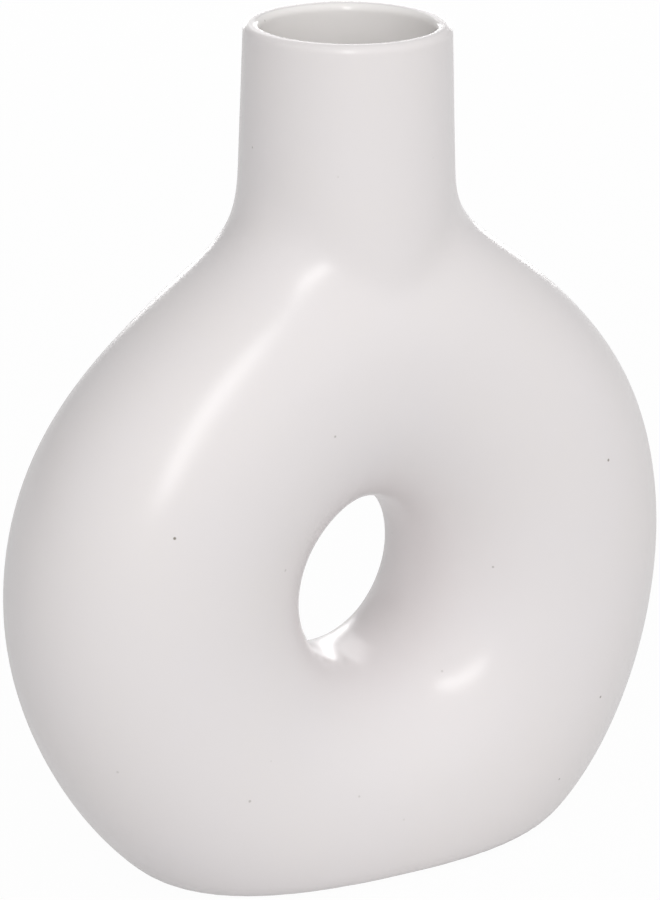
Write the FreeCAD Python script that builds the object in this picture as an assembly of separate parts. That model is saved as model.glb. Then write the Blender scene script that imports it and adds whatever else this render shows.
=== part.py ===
import FreeCAD, Part
import math
import os

# Donut vase: an upright hollow ring with a round neck on top and a flat foot below. The clay is a front
# and a back half, joined wet on the mould's parting plane, with the neck luted on top, and glaze coats
# it outside and inside. Millimetres. The origin is the middle of the foot on the surface that it stands
# on, +Z is up, +X is along the ring's width and the hole runs along Y, so the front faces -Y.

# Driving sizes
ring_half_width = 88.8
foot_cut = 15.0
hole_half_width = 17.0
hole_half_height = 21.5
half_depth_side = 32.8
half_depth_foot = 35.4
shoulder_margin = 5.2
neck_length = 43.9
neck_rim_radius = 25.2
neck_root_radius = 26.7
neck_fillet = 31.0
neck_joint_rise = 11.0
foot_rounding = 10.0
foot_ring_width = 8.0
foot_recess_depth = 1.2
wall = 4.2
floor_wall = 5.0
glaze = 0.4
glaze_line_height = 0.8

# The outline's distance from the hole's centre, as shares of the half width: straight down first, then
# in equal turns up the right side, over the top and down the left side. It is a little uneven, as cast.
outline_shares = (0.999, 1.057, 1.014, 0.985, 1.003, 1.026, 1.097, 1.019, 1.018, 1.016, 1.007, 1.023)
# Points round each section of the ring, and the power of its rounded, slightly squared oval.
section_points = 12
section_power = 2.08
# How closely an edge or a face must lie to a level to be taken as lying on it.
tolerance = 0.01

# Places that follow from them
top_share = outline_shares[len(outline_shares) // 2]
right_share = outline_shares[len(outline_shares) // 4]
left_share = outline_shares[len(outline_shares) * 3 // 4]
middle_x = (left_share - right_share) / 2 * ring_half_width
half_depth_top = neck_root_radius + shoulder_margin
hole_height = outline_shares[0] * ring_half_width - foot_cut
hole_top = hole_height + hole_half_height
ring_top = hole_height + top_share * ring_half_width
neck_joint = ring_top + neck_joint_rise
height = ring_top + neck_length
lip_start = height - wall / 2
upright = FreeCAD.Vector(0, 0, 1)
axis_point = FreeCAD.Vector(middle_x, 0, 0)


def blurred(grid):
    """Where a cubic surface passes when the grid's points are its control points, both ways closed."""
    rows = len(grid)
    columns = len(grid[0])
    along = [[(grid[i - 1][j] + grid[i][j] * 4 + grid[(i + 1) % rows][j]) * (1 / 6) for j in range(columns)]
             for i in range(rows)]
    return [[(along[i][j - 1] + along[i][j] * 4 + along[i][(j + 1) % columns]) * (1 / 6) for j in range(columns)]
            for i in range(rows)]


def closed_surface(points):
    """A smooth surface, closed both ways, through a grid of points."""
    poles = points
    for _ in range(60):
        passed = blurred(poles)
        poles = [[pole + (point - place) for pole, point, place in zip(*rows)] for rows in zip(poles, points, passed)]
    around = len(points)
    across = len(points[0])
    surface = Part.BSplineSurface()
    surface.buildFromPolesMultsKnots(poles, [1] * (around + 1), [1] * (across + 1), list(range(around + 1)),
                                     list(range(across + 1)), True, True, 3, 3)
    return surface


def section_point(reach, hole_reach, half_depth, turn):
    """Distance from the hole's centre and depth of one point of a ring section, by its turn round the section."""
    side = math.cos(turn)
    front = math.sin(turn)
    size = (abs(side) ** section_power + abs(front) ** section_power) ** (-1 / section_power)
    middle = (reach + hole_reach) / 2
    return middle + (reach - hole_reach) / 2 * size * side, half_depth * size * front


def ring_solid(inset):
    """The whole ring, before the foot is cut, drawn in from the outer surface by inset."""
    grid = []
    for step, share in enumerate(outline_shares):
        angle = 2 * math.pi * step / len(outline_shares)
        right = math.sin(angle)
        up = -math.cos(angle)
        reach = share * ring_half_width - inset
        hole_reach = 1 / math.hypot(right / hole_half_width, up / hole_half_height) + inset
        ends = half_depth_top if up > 0 else half_depth_foot
        half_depth = half_depth_side + (ends - half_depth_side) * up * up - inset
        row = []
        for k in range(section_points):
            distance, depth = section_point(reach, hole_reach, half_depth, 2 * math.pi * k / section_points)
            row.append(FreeCAD.Vector(middle_x + distance * right, depth, hole_height + distance * up))
        grid.append(row)
    solid = Part.Solid(Part.Shell([closed_surface(grid).toShape()]))
    if solid.Volume < 0:
        solid.reverse()
    return solid


def block(low, top):
    """A block wider and deeper than the vase, from one height to another."""
    reach = 2 * ring_half_width
    return Part.makeBox(2 * reach, 2 * reach, top - low, FreeCAD.Vector(-reach, -reach, low))


def lies_at(shape, level):
    """Whether an edge or a face lies flat at a height."""
    return abs(shape.BoundBox.ZMin - level) < tolerance and abs(shape.BoundBox.ZMax - level) < tolerance


def joined_neck(ring, inset):
    """The neck as a tapered plug from the heart of the ring's top, joined to the ring with a filleted shoulder."""
    root = (hole_top + ring_top) / 2
    plug = Part.makeCone(neck_radius(root, inset), neck_radius(lip_start, inset), lip_start - root,
                         axis_point + upright * root)
    joined = ring.fuse(plug)
    seams = [e for e in joined.Edges if hole_top < e.BoundBox.ZMin and e.BoundBox.ZMax < lip_start - tolerance
             and e.BoundBox.XMin < middle_x < e.BoundBox.XMax and e.BoundBox.YMin < 0 < e.BoundBox.YMax]
    return joined.makeFillet(neck_fillet + inset, seams)


def neck_radius(level, inset):
    """The tapered neck's radius at a height, drawn in by inset."""
    taper = (neck_root_radius - neck_rim_radius) / neck_length
    return neck_rim_radius + taper * (height - level) - inset


def vase_form(inset, floor):
    """Ring, neck and rounded foot as one solid, drawn in by inset, from a floor height to the start of the lip."""
    form = joined_neck(ring_solid(inset), inset).cut(block(-ring_half_width, floor))
    rounding = max(foot_rounding - inset, glaze)
    return form.makeFillet(rounding, [e for e in form.Edges if lies_at(e, floor)])


def skin_of(form, *levels):
    """The faces of a form without the flat caps at the given heights."""
    return [face for face in form.Faces if not any(lies_at(face, level) for level in levels)]


def lip_band(inset, start, end):
    """Part of the lip's round between two turns, 0 at the outer side and half a turn at the inner side."""
    radius = wall / 2 - inset
    centre = FreeCAD.Vector(middle_x + neck_radius(lip_start, wall / 2), 0, lip_start)
    outward = FreeCAD.Vector(radius, 0, 0)
    places = [centre + outward * math.cos(turn) + upright * radius * math.sin(turn)
              for turn in (start, (start + end) / 2, end)]
    return Part.Arc(*places).toShape().revolve(axis_point, upright, 360)


def crest_band():
    """The narrow ring on which the outer and inner glaze meet at the crest of the lip."""
    top = FreeCAD.Vector(middle_x + neck_radius(lip_start, wall / 2), 0, height)
    return Part.makeLine(top - upright * glaze, top).revolve(axis_point, upright, 360)


def closed_solid(faces):
    """A solid from the faces that enclose it."""
    shell = Part.Shell(faces)
    shell.sewShape()
    solid = Part.Solid(shell)
    if solid.Volume < 0:
        solid.reverse()
    return solid


def clay_body():
    """All the fired clay: a hollow vessel, open at the mouth, with a rounded lip and a recessed foot."""
    outside = vase_form(glaze, 0)
    inside = vase_form(wall - glaze, floor_wall - glaze)
    clay = closed_solid(skin_of(outside, lip_start) + skin_of(inside, lip_start) + [lip_band(glaze, 0, math.pi)])
    return clay.cut(foot_recess(clay))


def foot_recess(clay):
    """The shallow hollow under the foot, inside a flat ring that the vase stands on."""
    sole = next(face for face in clay.Faces if lies_at(face, 0))
    box = sole.BoundBox
    shrink = FreeCAD.Matrix()
    shrink.move(-box.Center)
    shrink.scale(1 - 2 * foot_ring_width / box.XLength, 1 - 2 * foot_ring_width / box.YLength, 1)
    shrink.move(box.Center)
    outline = sole.OuterWire.transformGeometry(shrink)
    return Part.Face(outline).extrude(upright * foot_recess_depth)


def outer_glaze():
    """The glaze outside, from just above the foot to the crest of the lip."""
    bare = block(-ring_half_width, glaze_line_height)
    outer, inner = (vase_form(inset, 0).cut(bare) for inset in (0, glaze))
    ends = [next(face for face in form.Faces if lies_at(face, glaze_line_height)) for form in (outer, inner)]
    edge = ends[0].cut(ends[1])
    faces = skin_of(outer, lip_start, glaze_line_height) + skin_of(inner, lip_start, glaze_line_height) + edge.Faces
    return closed_solid(faces + [lip_band(0, 0, math.pi / 2), lip_band(glaze, 0, math.pi / 2), crest_band()])


def liner_glaze():
    """The glaze inside, from the crest of the lip down the neck and all round the cavity."""
    faces = []
    for inset in (0, glaze):
        faces += skin_of(vase_form(wall - inset, floor_wall - inset), lip_start)
        faces.append(lip_band(inset, math.pi / 2, math.pi))
    return closed_solid(faces + [crest_band()])


def main():
    os.makedirs("parts", exist_ok=True)
    clay = clay_body()
    ring = clay.common(block(-ring_half_width, neck_joint))
    front_side = block(-ring_half_width, height)
    front_side.translate(FreeCAD.Vector(0, -2 * ring_half_width, 0))
    nodes = {
        "front_half": ring.common(front_side),
        "back_half": ring.cut(front_side),
        "neck": clay.common(block(neck_joint, height + wall)),
        "outer_glaze": outer_glaze(),
        "liner_glaze": liner_glaze(),
    }
    for name, shape in nodes.items():
        shape.exportStep(os.path.join("parts", name + ".step"))
        print(name, "solids", len(shape.Solids), "valid", shape.isValid(), "closed", shape.isClosed(),
              "volume in cubic mm", round(shape.Volume))


if __name__ == "__main__":
    main()
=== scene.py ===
import bmesh
import bpy
import cmath
import math
from mathutils import Matrix, Vector


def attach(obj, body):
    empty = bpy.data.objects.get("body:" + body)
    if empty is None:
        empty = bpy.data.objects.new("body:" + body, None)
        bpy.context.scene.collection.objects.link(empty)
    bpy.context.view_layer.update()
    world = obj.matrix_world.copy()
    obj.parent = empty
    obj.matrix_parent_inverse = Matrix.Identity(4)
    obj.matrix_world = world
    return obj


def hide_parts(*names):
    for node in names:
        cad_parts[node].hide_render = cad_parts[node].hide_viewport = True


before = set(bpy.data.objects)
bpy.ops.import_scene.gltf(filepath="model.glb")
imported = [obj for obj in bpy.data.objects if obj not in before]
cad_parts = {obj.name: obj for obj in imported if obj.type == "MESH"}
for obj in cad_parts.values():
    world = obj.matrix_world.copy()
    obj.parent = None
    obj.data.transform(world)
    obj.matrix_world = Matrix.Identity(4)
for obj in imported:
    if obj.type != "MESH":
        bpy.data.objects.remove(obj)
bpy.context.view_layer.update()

# CAMERA
# It stands in front of the vase and to its left, a little above the mouth, with a long lens as for a
# catalogue picture. Its place was found from the outline of the ring, the mouth's ellipse and the hole's
# edge.

# Plain sizes are in millimetres, apart from those of the floor and light, and MM turns them into metres
MM = 0.001
camera_turn = math.radians(-28.907)
camera_rise = math.radians(20.016)
camera_roll = math.radians(0.431)
camera_distance = 951.46
aim_aside = -3.497
aim_height = 105.811
middle_x = 1.376

camera_data = bpy.data.cameras.new("camera")
camera_data.lens = 153.05
camera_data.sensor_width = 36
camera_data.sensor_fit = "AUTO"
camera_data.clip_start = 0.05
camera = bpy.data.objects.new("camera", camera_data)
bpy.context.scene.collection.objects.link(camera)
toward = Vector((math.sin(camera_turn) * math.cos(camera_rise),
                 -math.cos(camera_turn) * math.cos(camera_rise),
                 math.sin(camera_rise)))
aim = MM * Vector((middle_x + aim_aside * math.cos(camera_turn),
                   aim_aside * math.sin(camera_turn),
                   aim_height))
level_right = Vector((0, 0, 1)).cross(toward).normalized()
level_up = toward.cross(level_right)
camera_right = level_right * math.cos(camera_roll) + level_up * math.sin(camera_roll)
camera_up = level_up * math.cos(camera_roll) - level_right * math.sin(camera_roll)
camera.matrix_world = Matrix.Translation(aim + toward * camera_distance * MM) @ Matrix(
    (camera_right, camera_up, toward)).transposed().to_4x4()
bpy.context.scene.camera = camera

# FIRED CLAY BODY
# One slip-cast stoneware vessel: a hollow ring, a short tapered neck that grows out of it over a soft
# shoulder, and a foot that was cut flat and left unglazed. The same rule gives the clay and both coats of
# glaze, each at its own depth in the wall, so one node tree draws them all.

ring_half_width = 88.8
foot_cut = 15.0
hole_half_width = 17.0
hole_half_height = 21.5
half_depth_side = 32.8
half_depth_top = 31.9
half_depth_foot = 35.4
neck_rim_radius = 25.2
neck_length = 43.9
neck_widening = 1.5
neck_taper = neck_widening / neck_length
wall = 4.2
glaze = 0.4
section_power = 2.08
outline_shares = (0.999, 1.057, 1.014, 0.985, 1.003, 1.026, 1.097, 1.019, 1.018, 1.016, 1.007, 1.023)
outline_waves = 9
hole_height = outline_shares[0] * ring_half_width - foot_cut
ring_top = hole_height + outline_shares[6] * ring_half_width
height = ring_top + neck_length
lip_start = height - wall / 2
crest_radius = neck_rim_radius - wall / 2

# The shoulder's curve across the ring, what it gains along the ring, and the round of the foot
shoulder_across = 2.36
shoulder_along = 17.6
foot_round = 6.8

# What casting and firing leave: slow waves of the skin, and a lip that sits lower on one side
wave_size = 34.0
wave_height = 0.14
lip_tilt = 0.7
low_side = (0.6, 0.8, 0.0)

# How many moves bring a skin onto the wall, one after another
passes = 4


def add(tree, kind, inputs=None, **settings):
    """Adds a node with its settings, and fills its inputs with values or links."""
    node = tree.nodes.new(kind)
    for name, value in settings.items():
        setattr(node, name, value)
    for key, value in (inputs or {}).items():
        if isinstance(value, bpy.types.Node):
            value = next(socket for socket in value.outputs if socket.enabled)
        if isinstance(value, bpy.types.NodeSocket):
            tree.links.new(value, node.inputs[key])
        else:
            node.inputs[key].default_value = value
    return node


def wall_tree():
    """The rule of the vase's wall as a node tree: it moves the points of a cage onto one skin of the wall."""
    tree = bpy.data.node_groups.new("vase_wall", "GeometryNodeTree")
    tree.interface.new_socket("Cage", in_out="INPUT", socket_type="NodeSocketGeometry")
    sizes = {
        "Ring half width": ring_half_width, "Hole half width": hole_half_width,
        "Hole half height": hole_half_height, "Half depth at sides": half_depth_side,
        "Half depth at top": half_depth_top, "Half depth at foot": half_depth_foot,
        "Hole height": hole_height, "Height": height, "Neck rim radius": neck_rim_radius, "Wall": wall,
        "Side": 1.0, "Depth in wall": 0.0, "Unevenness": wave_height, "Lip tilt": lip_tilt,
    }
    for name, value in sizes.items():
        tree.interface.new_socket(name, in_out="INPUT", socket_type="NodeSocketFloat").default_value = value
    tree.interface.new_socket("Finish", in_out="INPUT", socket_type="NodeSocketMaterial")
    tree.interface.new_socket("Skin", in_out="OUTPUT", socket_type="NodeSocketGeometry")
    given = add(tree, "NodeGroupInput").outputs
    math_node = "ShaderNodeMath"
    vector_node = "ShaderNodeVectorMath"

    # Place in millimetres, then from the middle of the hole
    place = add(tree, vector_node, {0: add(tree, "GeometryNodeInputPosition"), "Scale": 1 / MM},
                operation="SCALE")
    x, y, z = add(tree, "ShaderNodeSeparateXYZ", {0: place}).outputs
    aside = add(tree, math_node, {0: x, 1: middle_x}, operation="SUBTRACT")
    rise = add(tree, math_node, {0: z, 1: given["Hole height"]}, operation="SUBTRACT")
    fall = add(tree, math_node, {0: rise, 1: -1.0}, operation="MULTIPLY")
    turn = add(tree, math_node, {0: aside, 1: fall}, operation="ARCTAN2")
    spoke = add(tree, "ShaderNodeCombineXYZ", {"X": aside, "Z": rise})
    reach = add(tree, vector_node, {0: spoke}, operation="LENGTH")
    heading = add(tree, vector_node, {0: spoke}, operation="NORMALIZE")
    right, _, up = add(tree, "ShaderNodeSeparateXYZ", {0: heading}).outputs

    # The uneven outline as a sum of waves round the hole. Together they follow the closed cubic curve that
    # passes through the shares, which stand at twelve even turns.
    count = len(outline_shares)
    outline = None
    for wave in range(outline_waves):
        step = 2 * math.pi * wave / count
        swing = sum(share * cmath.exp(-1j * step * i) for i, share in enumerate(outline_shares)) / count
        if wave:
            swing *= 2 * 3 / (2 + math.cos(step)) * (math.sin(step / 2) / (step / 2)) ** 4
        phase = add(tree, math_node, {0: turn, 1: float(wave), 2: cmath.phase(swing)},
                    operation="MULTIPLY_ADD")
        crest = add(tree, math_node, {0: phase}, operation="COSINE")
        outline = add(tree, math_node, {0: crest, 1: abs(swing), 2: outline if outline else 0.0},
                      operation="MULTIPLY_ADD")
    outer_reach = add(tree, math_node, {0: outline, 1: given["Ring half width"]}, operation="MULTIPLY")

    # The oval hole, and the ring's rounded section between the two
    hole_aside = add(tree, math_node, {0: right, 1: given["Hole half width"]}, operation="DIVIDE")
    hole_up = add(tree, math_node, {0: up, 1: given["Hole half height"]}, operation="DIVIDE")
    hole_vector = add(tree, "ShaderNodeCombineXYZ", {"X": hole_aside, "Z": hole_up})
    hole_share = add(tree, vector_node, {0: hole_vector}, operation="LENGTH")
    hole_reach = add(tree, math_node, {0: 1.0, 1: hole_share}, operation="DIVIDE")
    both = add(tree, math_node, {0: outer_reach, 1: hole_reach}, operation="ADD")
    middle = add(tree, math_node, {0: both, 1: 0.5}, operation="MULTIPLY")
    half = add(tree, math_node, {0: middle, 1: hole_reach}, operation="SUBTRACT")
    above = add(tree, math_node, {0: up, 1: 0.0}, operation="GREATER_THAN")
    end_depth = add(tree, "ShaderNodeMix", {"Factor": above, "A": given["Half depth at foot"],
                                            "B": given["Half depth at top"]})
    up_squared = add(tree, math_node, {0: up, 1: up}, operation="MULTIPLY")
    half_depth = add(tree, "ShaderNodeMix", {"Factor": up_squared, "A": given["Half depth at sides"],
                                             "B": end_depth})
    off_middle = add(tree, math_node, {0: reach, 1: middle}, operation="SUBTRACT")
    powers = []
    for offset, size in ((off_middle, half), (y, half_depth)):
        signed_share = add(tree, math_node, {0: offset, 1: size}, operation="DIVIDE")
        share = add(tree, math_node, {0: signed_share}, operation="ABSOLUTE")
        powers.append(add(tree, math_node, {0: share, 1: section_power}, operation="POWER"))
    total = add(tree, math_node, {0: powers[0], 1: powers[1]}, operation="ADD")
    scale = add(tree, math_node, {0: total, 1: -1 / section_power}, operation="POWER")
    beyond = add(tree, math_node, {0: 1.0, 1: scale}, operation="SUBTRACT")
    section_vector = add(tree, "ShaderNodeCombineXYZ", {"X": off_middle, "Y": y})
    from_middle = add(tree, vector_node, {0: section_vector}, operation="LENGTH")
    ring = add(tree, math_node, {0: from_middle, 1: beyond}, operation="MULTIPLY")

    # The tapered neck, whose lip sits a little lower at the back right
    flat = add(tree, "ShaderNodeCombineXYZ", {"X": aside, "Y": y})
    axis_reach = add(tree, vector_node, {0: flat}, operation="LENGTH")
    lean = add(tree, vector_node, {0: flat, 1: low_side}, operation="DOT_PRODUCT")
    lean_share = add(tree, "ShaderNodeMapRange", {"Value": lean.outputs["Value"], "From Min": -crest_radius,
                                                  "From Max": crest_radius}, interpolation_type="SMOOTHSTEP")
    level = add(tree, math_node, {0: lean_share, 1: given["Lip tilt"], 2: z}, operation="MULTIPLY_ADD")
    down = add(tree, math_node, {0: given["Height"], 1: level}, operation="SUBTRACT")
    neck_radius = add(tree, math_node, {0: down, 1: neck_taper, 2: given["Neck rim radius"]},
                      operation="MULTIPLY_ADD")
    tube = add(tree, math_node, {0: axis_reach, 1: neck_radius}, operation="SUBTRACT")
    root_level = (hole_height + hole_half_height + ring_top) / 2
    below_root = add(tree, math_node, {0: root_level, 1: z}, operation="SUBTRACT")
    neck = add(tree, math_node, {0: tube, 1: below_root}, operation="MAXIMUM")

    # The shoulder runs out wider along the ring than across it, and the foot is rounded off
    along = add(tree, math_node, {0: aside, 1: axis_reach}, operation="DIVIDE")
    along_squared = add(tree, math_node, {0: along, 1: along}, operation="MULTIPLY")
    shoulder = add(tree, math_node, {0: along_squared, 1: shoulder_along, 2: shoulder_across},
                   operation="MULTIPLY_ADD")
    joined = add(tree, math_node, {0: ring, 1: neck, 2: shoulder}, operation="SMOOTH_MIN")
    lowered = add(tree, math_node, {0: z, 1: given["Depth in wall"]}, operation="ADD")
    under = add(tree, math_node, {0: lowered, 1: -1.0}, operation="MULTIPLY")
    vessel = add(tree, math_node, {0: joined, 1: under, 2: foot_round}, operation="SMOOTH_MAX")

    # The wall lies inside that form and ends in a round lip, with faint waves all over
    half_wall = add(tree, math_node, {0: given["Wall"], 1: 0.5}, operation="MULTIPLY")
    in_wall = add(tree, math_node, {0: vessel, 1: half_wall}, operation="ADD")
    lip_level = add(tree, math_node, {0: given["Height"], 1: half_wall}, operation="SUBTRACT")
    past_lip = add(tree, math_node, {0: level, 1: lip_level}, operation="SUBTRACT")
    over_lip = add(tree, math_node, {0: past_lip, 1: 0.0}, operation="MAXIMUM")
    lip_vector = add(tree, "ShaderNodeCombineXYZ", {"X": in_wall, "Y": over_lip})
    round_lip = add(tree, vector_node, {0: lip_vector}, operation="LENGTH")
    to_side = add(tree, math_node, {0: in_wall, 1: given["Side"]}, operation="MULTIPLY")
    at_lip = add(tree, math_node, {0: over_lip, 1: 0.0}, operation="GREATER_THAN")
    from_core = add(tree, "ShaderNodeMix", {"Factor": at_lip, "A": to_side, "B": round_lip})
    skin = add(tree, math_node, {0: from_core, 1: half_wall}, operation="SUBTRACT")
    waves = add(tree, "ShaderNodeTexNoise", {"Vector": place, "Scale": 1 / wave_size, "Detail": 1.0})
    uneven = add(tree, math_node, {0: waves.outputs["Fac"], 1: given["Unevenness"],
                                   2: given["Depth in wall"]}, operation="MULTIPLY_ADD")
    gap = add(tree, math_node, {0: skin, 1: uneven}, operation="ADD")

    # A smooth skin of small faces, moved along its own normals until it lies on the wall
    smooth = add(tree, "GeometryNodeSubdivisionSurface", {"Mesh": given["Cage"], "Level": 3})
    back = add(tree, math_node, {0: gap, 1: -MM}, operation="MULTIPLY")
    move = add(tree, vector_node, {0: add(tree, "GeometryNodeInputNormal"), "Scale": back}, operation="SCALE")
    start = add(tree, "GeometryNodeRepeatInput")
    end = add(tree, "GeometryNodeRepeatOutput")
    start.pair_with_output(end)
    start.inputs["Iterations"].default_value = passes
    tree.links.new(smooth.outputs[0], start.inputs["Geometry"])
    moved = add(tree, "GeometryNodeSetPosition", {"Geometry": start.outputs["Geometry"], "Offset": move})
    tree.links.new(moved.outputs[0], end.inputs["Geometry"])
    real = add(tree, "GeometryNodeRealizeInstances", {0: end.outputs["Geometry"]})
    shaded = add(tree, "GeometryNodeSetShadeSmooth", {0: real})
    finished = add(tree, "GeometryNodeSetMaterial", {0: shaded, "Material": given["Finish"]})
    add(tree, "NodeGroupOutput", {"Skin": finished})
    return tree


def wall_cage(inner):
    """A coarse ring with a neck: a cage of four-sided faces round one side of the wall, open at the mouth."""
    around = 24
    across = 16
    # Loops of the neck: how far each lies above the ring's top and outside the rim's radius
    neck_loops = ((4, 5), (12, 2.5), (21, 1.5), (31, 0.5), (neck_length - wall / 2, 0))
    lip_turns = (45, 80, 90)
    inset = wall if inner else 0.0
    cage = bmesh.new()
    rows = []
    for i in range(around):
        angle = 2 * math.pi * i / around
        right, up = math.sin(angle), math.cos(angle)
        hole_reach = 1 / math.hypot(right / hole_half_width, up / hole_half_height) + inset
        reach = ring_half_width - inset
        row = []
        for k in range(across):
            side = 2 * math.pi * k / across
            distance = (reach + hole_reach) / 2 + (reach - hole_reach) / 2 * math.cos(side)
            depth = (half_depth_side - inset) * math.sin(side)
            level = max(hole_height + distance * up, inset)
            row.append(cage.verts.new((middle_x + distance * right, depth, level)))
        rows.append(row)
    for i in range(around):
        for k in range(across):
            under_neck = i in (0, around - 1) and k in (0, 1, across - 2, across - 1)
            if not under_neck:
                next_row = rows[(i + 1) % around]
                next_k = (k + 1) % across
                cage.faces.new((rows[i][k], next_row[k], next_row[next_k], rows[i][next_k]))
    loose = [vertex for vertex in cage.verts if not vertex.link_faces]
    bmesh.ops.delete(cage, geom=loose, context="VERTS")

    # The neck from the shoulder up to the crest of the lip
    edge = [rows[1][k] for k in (-2, -1, 0, 1, 2)] + [rows[0][2]]
    edge += [rows[-1][k] for k in (2, 1, 0, -1, -2)] + [rows[0][-2]]
    lip = wall / 2
    side = -1 if inner else 1
    levels = [(ring_top + rise, neck_rim_radius - inset + spread) for rise, spread in neck_loops]
    for turn in map(math.radians, lip_turns):
        levels.append((lip_start + lip * math.sin(turn), crest_radius + side * lip * math.cos(turn)))
    turns = [math.atan2(vertex.co.y, vertex.co.x - middle_x) for vertex in edge]
    below = edge
    for n, (level, radius) in enumerate(levels):
        # The points, uneven at the shoulder, come to even turns by the fourth loop
        even = min(1, n / 3)
        loop = []
        for k, turn in enumerate(turns):
            regular = turns[2] + 2 * math.pi * (k - 2) / len(turns)
            gap = (regular - turn + math.pi) % (2 * math.pi) - math.pi
            angle = turn + gap * even
            corner = (middle_x + radius * math.cos(angle), radius * math.sin(angle), level)
            loop.append(cage.verts.new(corner))
        for k in range(len(edge)):
            cage.faces.new([below[k], below[(k + 1) % len(edge)], loop[(k + 1) % len(edge)], loop[k]])
        below = loop
    bmesh.ops.recalc_face_normals(cage, faces=cage.faces)
    lowest = min(cage.faces, key=lambda face: face.calc_center_median().z)
    if (lowest.normal.z > 0) is not inner:
        bmesh.ops.reverse_faces(cage, faces=cage.faces)
    bmesh.ops.scale(cage, vec=(MM, MM, MM), verts=cage.verts)
    mesh = bpy.data.meshes.new("cage")
    cage.to_mesh(mesh)
    cage.free()
    return mesh


def skin_mesh(tree, inner, depth, finish):
    """One skin of the wall at a depth below the glaze, as a plain mesh."""
    holder = bpy.data.objects.new("cage", wall_cage(inner))
    bpy.context.scene.collection.objects.link(holder)
    modifier = holder.modifiers.new("wall", "NODES")
    modifier.node_group = tree
    sockets = {item.name: item.identifier for item in tree.interface.items_tree if item.in_out == "INPUT"}
    modifier[sockets["Side"]] = -1.0 if inner else 1.0
    modifier[sockets["Depth in wall"]] = depth
    modifier[sockets["Finish"]] = finish
    graph = bpy.context.evaluated_depsgraph_get()
    mesh = bpy.data.meshes.new_from_object(holder.evaluated_get(graph))
    bpy.data.objects.remove(holder)
    return mesh


def linear(code):
    """A colour given as sRGB hex, as the linear values that the nodes take."""
    parts = [int(code[i:i + 2], 16) / 255 for i in (1, 3, 5)]
    return [*(c / 12.92 if c <= 0.04045 else ((c + 0.055) / 1.055) ** 2.4 for c in parts), 1.0]


def place_piece(name, mesh, slot, *nodes):
    """Puts a finished mesh in the scene as a piece that stands for CAD nodes."""
    piece = bpy.data.objects.new(name, mesh)
    bpy.context.scene.collection.objects.link(piece)
    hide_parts(*nodes)
    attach(piece, "root")
    return piece


# The skin is cut just above the table and its edge brought down to it. Inside a level ring lies a recess.
sole_level = 0.25
bearing_width = 8.0
recess_depth = 1.2
sharp_turn = math.radians(25)

# Fired stoneware without glaze: dull, with fine sand that shows as a darker speckle and a rough touch
sand_grain = 0.6
sand_relief = 0.06

clay_finish = bpy.data.materials.new("unglazed_stoneware")
clay_finish.use_nodes = True
nodes = clay_finish.node_tree
nodes.nodes.clear()
coordinates = add(nodes, "ShaderNodeTexCoord").outputs["Object"]
grains = add(nodes, "ShaderNodeTexNoise", {"Vector": coordinates, "Scale": 1 / (sand_grain * MM),
                                           "Detail": 2.0})
clay_colour = add(nodes, "ShaderNodeMix", {"Factor": grains.outputs["Fac"], 6: linear("#CFC5B4"),
                                           7: linear("#E4DCCF")}, data_type="RGBA")
rough_touch = add(nodes, "ShaderNodeBump", {"Height": grains.outputs["Fac"], "Distance": sand_relief * MM,
                                            "Strength": 1.0})
fired = add(nodes, "ShaderNodeBsdfPrincipled", {"Base Color": clay_colour.outputs[2], "Roughness": 0.88,
                                                "IOR": 1.5, "Normal": rough_touch})
add(nodes, "ShaderNodeOutputMaterial", {"Surface": fired})

wall_nodes = wall_tree()
clay = bmesh.new()
clay.from_mesh(skin_mesh(wall_nodes, False, glaze, clay_finish))
bmesh.ops.bisect_plane(clay, geom=clay.verts[:] + clay.edges[:] + clay.faces[:],
                       plane_co=(0, 0, sole_level * MM), plane_no=(0, 0, 1), clear_inner=True)
rim_edges = [edge for edge in clay.edges if edge.is_boundary and edge.verts[0].co.z < lip_start * MM / 2]
sole = bmesh.ops.contextual_create(clay, geom=rim_edges)["faces"][0]
outer_loop = sole.verts[:]
clay.faces.remove(sole)
for vertex in outer_loop:
    vertex.co.z = 0
foot_outline = [vertex.co.copy() for vertex in outer_loop]
foot_half_width = max(corner.x for corner in foot_outline) - middle_x * MM
foot_half_depth = max(corner.y for corner in foot_outline)
for inset, level in ((bearing_width, 0), (bearing_width + recess_depth / 2, recess_depth)):
    width_share = 1 - inset * MM / foot_half_width
    depth_share = 1 - inset * MM / foot_half_depth
    inner_loop = []
    for corner in foot_outline:
        inner_x = middle_x * MM + (corner.x - middle_x * MM) * width_share
        inner_loop.append(clay.verts.new((inner_x, corner.y * depth_share, level * MM)))
    for k in range(len(inner_loop)):
        clay.faces.new((outer_loop[k - 1], outer_loop[k], inner_loop[k], inner_loop[k - 1]))
    outer_loop = inner_loop
clay.faces.new(outer_loop)
bmesh.ops.recalc_face_normals(clay, faces=clay.faces)
bmesh.ops.triangulate(clay, faces=[face for face in clay.faces if len(face.verts) > 4])
clay.from_mesh(skin_mesh(wall_nodes, True, glaze, clay_finish))
crest = [vertex for vertex in clay.verts if vertex.is_boundary]
bmesh.ops.remove_doubles(clay, verts=crest, dist=glaze * MM)
clay.normal_update()
for face in clay.faces:
    face.smooth = face.normal.z > -0.9999
for edge in clay.edges:
    edge.smooth = len(edge.link_faces) == 2 and edge.calc_face_angle(0) < sharp_turn
clay_mesh = bpy.data.meshes.new("stoneware_body")
clay.to_mesh(clay_mesh)
clay.free()
clay_mesh.materials.append(clay_finish)
place_piece("stoneware_body", clay_mesh, "fired_clay", "front_half", "back_half", "neck")

# OUTER GLAZE
# A satin white glaze over the whole outside, from just above the foot to the crest of the lip. It is sprayed
# or dipped on, the foot is wiped bare, and the kiln melts it onto the clay.

glaze_line = 0.8


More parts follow.
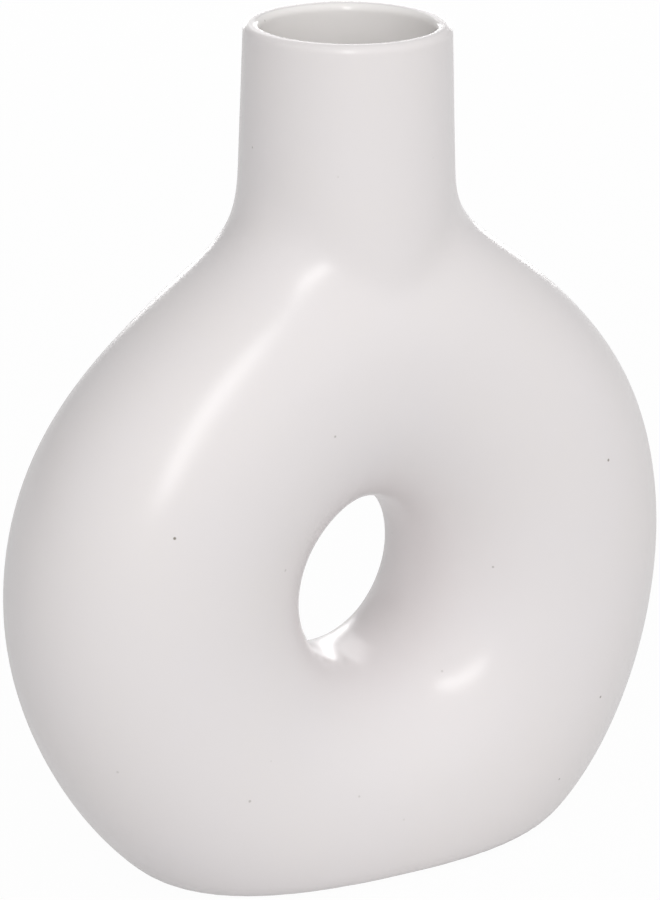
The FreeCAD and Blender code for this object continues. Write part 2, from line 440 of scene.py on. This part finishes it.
def coat_piece(name, skin, low, finish, slot, node):
    """A coat of glaze from its outer skin: cut off at a level, and given its thickness towards the clay."""
    coat = bmesh.new()
    coat.from_mesh(skin)
    bmesh.ops.bisect_plane(coat, geom=coat.verts[:] + coat.edges[:] + coat.faces[:],
                           plane_co=(0, 0, low * MM), plane_no=(0, 0, 1), clear_inner=True)
    for edge in coat.edges:
        edge.smooth = not edge.is_boundary
    mesh = bpy.data.meshes.new(name)
    coat.to_mesh(mesh)
    coat.free()
    mesh.materials.clear()
    mesh.materials.append(finish)
    piece = place_piece(name, mesh, slot, node)
    thickness = piece.modifiers.new("coat", "SOLIDIFY")
    thickness.thickness = glaze * MM
    thickness.offset = -1
    return piece


def glaze_material(name, pale, warm, roughness, ripple):
    """A white glaze whose colour and sheen drift a little, with a few specks, pinholes and faint ripples."""
    drift_size = 45
    sheen_spread = 0.02
    ripple_size = 2.5
    # Three cells in twenty of a 6 mm grid hold a speck of iron or a pinhole up to 1 mm across
    cell_size = 6
    cells_without = 0.85
    dot_core = 0.03
    dot_edge = 0.085
    pinhole_depth = 2.0
    finish = bpy.data.materials.new(name)
    finish.use_nodes = True
    nodes = finish.node_tree
    nodes.nodes.clear()
    coordinates = add(nodes, "ShaderNodeTexCoord").outputs["Object"]
    drift = add(nodes, "ShaderNodeTexNoise", {"Vector": coordinates, "Scale": 1 / (drift_size * MM),
                                              "Detail": 8.0, "Roughness": 0.6})
    colour = add(nodes, "ShaderNodeMix", {"Factor": drift.outputs["Fac"], 6: linear(pale), 7: linear(warm)},
                 data_type="RGBA")
    cells = add(nodes, "ShaderNodeTexVoronoi", {"Vector": coordinates, "Scale": 1 / (cell_size * MM)})
    chosen = add(nodes, "ShaderNodeSeparateColor", {0: cells.outputs["Color"]})
    rare = add(nodes, "ShaderNodeMath", {0: chosen.outputs[0], 1: cells_without}, operation="GREATER_THAN")
    dot = add(nodes, "ShaderNodeMapRange", {"Value": cells.outputs["Distance"], "From Min": dot_core,
                                            "From Max": dot_edge, "To Min": 1.0, "To Max": 0.0},
              interpolation_type="SMOOTHSTEP")
    pinhole = add(nodes, "ShaderNodeMath", {0: dot, 1: rare}, operation="MULTIPLY")
    tint = add(nodes, "ShaderNodeMath", {0: pinhole, 1: chosen.outputs[1]}, operation="MULTIPLY")
    specked = add(nodes, "ShaderNodeMix", {"Factor": tint, 6: colour.outputs[2], 7: linear("#8C857C")},
                  data_type="RGBA")
    wave = add(nodes, "ShaderNodeTexNoise", {"Vector": coordinates, "Scale": 1 / (ripple_size * MM),
                                             "Detail": 1.0})
    height_here = add(nodes, "ShaderNodeMath", {0: pinhole, 1: -pinhole_depth, 2: wave.outputs["Fac"]},
                      operation="MULTIPLY_ADD")
    bump = add(nodes, "ShaderNodeBump", {"Height": height_here, "Distance": ripple * MM, "Strength": 1.0})
    sheen = add(nodes, "ShaderNodeMapRange", {"Value": drift.outputs["Fac"], "From Min": 0.3, "From Max": 0.7,
                                              "To Min": roughness - sheen_spread,
                                              "To Max": roughness + sheen_spread})
    coat = add(nodes, "ShaderNodeBsdfPrincipled", {"Base Color": specked.outputs[2], "Roughness": sheen,
                                                   "IOR": 1.52, "Normal": bump})
    add(nodes, "ShaderNodeOutputMaterial", {"Surface": coat})
    return finish


# Satin glaze: fine crystals in its surface soften the edges of every highlight
satin_finish = glaze_material("satin_white_glaze", "#EBE7E9", "#ECE7E5", 0.25, 0.005)
coat_piece("outer_glaze_coat", skin_mesh(wall_nodes, False, 0.0, satin_finish), glaze_line, satin_finish,
           "satin_glaze", "outer_glaze")

# LINER GLAZE
# A white glaze that lines the cavity all round, from the crest of the lip down. It is poured in through the
# mouth, swilled round the ring and drained, so it lies smoother than the outside.

# Poured glaze: glassier than the satin, so the inside of the mouth has clearer highlights. Its colour is
# painted paler than the satin's, as painted light that brightens the shaded inside of the mouth
gloss_and_painted_bright_finish = glaze_material("poured_liner_glaze", "#F8F5F4", "#F6F3F0", 0.18, 0.003)
coat_piece("liner_glaze_coat", skin_mesh(wall_nodes, True, 0.0, gloss_and_painted_bright_finish), glaze_line, gloss_and_painted_bright_finish,
           "liner_glaze", "liner_glaze")

# FLOOR AND LIGHT
# A plain white table top, open under the foot, so that the underside can be looked at from below. The pale
# room round it is brightest in front and above, and looks white to the camera. Of its three soft boxes a tall
# one stands in front on the left, and two stand behind and light the lower inside of the hole.

# Lengths in metres, and strengths where 1 is white
floor_reach = 6.0
opening_share = 0.97
floor_white_share = 0.97
glossy_white_share = 0.5
light_from = (-0.03, -0.86, 0.51)
light_ends_at = -0.58
front_strength = 1.02
strength_below = 0.7


def white_share(nodes):
    """How far a ray sees the white background: camera and transmission rays fully, glossy rays in part."""
    path = add(nodes, "ShaderNodeLightPath").outputs
    straight = add(nodes, "ShaderNodeMath", {0: path["Is Camera Ray"], 1: path["Is Transmission Ray"]},
                   operation="MAXIMUM")
    return add(nodes, "ShaderNodeMath", {0: path["Is Glossy Ray"], 1: glossy_white_share, 2: straight},
               operation="MULTIPLY_ADD", use_clamp=True)


top = bmesh.new()
edges = []
inner_corners = [(corner.x * opening_share, corner.y * opening_share) for corner in foot_outline]
outer_corners = [(floor_reach * x, floor_reach * y) for x, y in ((-1, -1), (1, -1), (1, 1), (-1, 1))]
for corners in (inner_corners, outer_corners):
    loop = [top.verts.new((x, y, 0)) for x, y in corners]
    edges += [top.edges.new((loop[k - 1], loop[k])) for k in range(len(loop))]
bmesh.ops.triangle_fill(top, edges=edges, use_beauty=True, normal=(0, 0, 1))
floor_mesh = bpy.data.meshes.new("floor")
top.to_mesh(floor_mesh)
top.free()
floor = bpy.data.objects.new("floor", floor_mesh)
bpy.context.scene.collection.objects.link(floor)
floor_finish = bpy.data.materials.new("white_table_top")
floor_finish.use_nodes = True
nodes = floor_finish.node_tree
nodes.nodes.clear()
share = add(nodes, "ShaderNodeMath", {0: white_share(nodes), 1: floor_white_share}, operation="MULTIPLY")
matt = add(nodes, "ShaderNodeBsdfDiffuse", {"Color": linear("#DFDFDF")})
bright = add(nodes, "ShaderNodeEmission", {"Color": linear("#FFFFFF"), "Strength": 1.0})
table = add(nodes, "ShaderNodeMixShader", {0: share, 1: matt, 2: bright})
clear = add(nodes, "ShaderNodeBsdfTransparent")
from_below = add(nodes, "ShaderNodeNewGeometry").outputs["Backfacing"]
open_below = add(nodes, "ShaderNodeMixShader", {0: from_below, 1: table, 2: clear})
add(nodes, "ShaderNodeOutputMaterial", {"Surface": open_below})
floor_mesh.materials.append(floor_finish)

world = bpy.data.worlds.new("pale_room")
bpy.context.scene.world = world
world.use_nodes = True
nodes = world.node_tree
nodes.nodes.clear()
direction = add(nodes, "ShaderNodeTexCoord").outputs["Generated"]
facing = add(nodes, "ShaderNodeVectorMath", {0: direction, 1: light_from}, operation="DOT_PRODUCT")
front_light = add(nodes, "ShaderNodeMapRange", {"Value": facing.outputs["Value"], "From Min": light_ends_at,
                                                "From Max": 1.0, "To Min": 0.0, "To Max": front_strength})
rise = add(nodes, "ShaderNodeSeparateXYZ", {0: direction}).outputs["Z"]
below = add(nodes, "ShaderNodeMath", {0: rise, 1: 0.0}, operation="LESS_THAN")
light_here = add(nodes, "ShaderNodeMix", {"Factor": below, "A": front_light, "B": strength_below})
room = add(nodes, "ShaderNodeBackground", {"Color": linear("#FFFFFF"), "Strength": light_here})
white = add(nodes, "ShaderNodeBackground", {"Color": linear("#FFFFFF"), "Strength": 1.0})
around = add(nodes, "ShaderNodeMixShader", {0: white_share(nodes), 1: room, 2: white})
add(nodes, "ShaderNodeOutputWorld", {"Surface": around})


def soft_box(name, turn, rise, distance, width, tall, energy):
    """A rectangular soft box that faces the vase from a turn and a rise, in degrees."""
    lamp = bpy.data.lights.new(name, "AREA")
    lamp.shape = "RECTANGLE"
    lamp.size = width
    lamp.size_y = tall
    lamp.energy = energy
    box = bpy.data.objects.new(name, lamp)
    bpy.context.scene.collection.objects.link(box)
    turn = math.radians(turn)
    rise = math.radians(rise)
    out = Vector((math.sin(turn) * math.cos(rise), -math.cos(turn) * math.cos(rise), math.sin(rise)))
    place = Matrix.Translation(out * distance + Vector((0, 0, height * MM / 2)))
    box.matrix_world = place @ out.to_track_quat("Z", "Y").to_matrix().to_4x4()


soft_box("front_soft_box", turn=-28, rise=31, distance=1.6, width=0.22, tall=1.1, energy=5.6)
soft_box("high_back_soft_box", turn=160, rise=33, distance=1.5, width=0.8, tall=0.8, energy=3.4)
soft_box("low_back_soft_box", turn=152, rise=3, distance=1.5, width=1.0, tall=0.36, energy=4.6)

bpy.context.scene.view_settings.view_transform = "Standard"
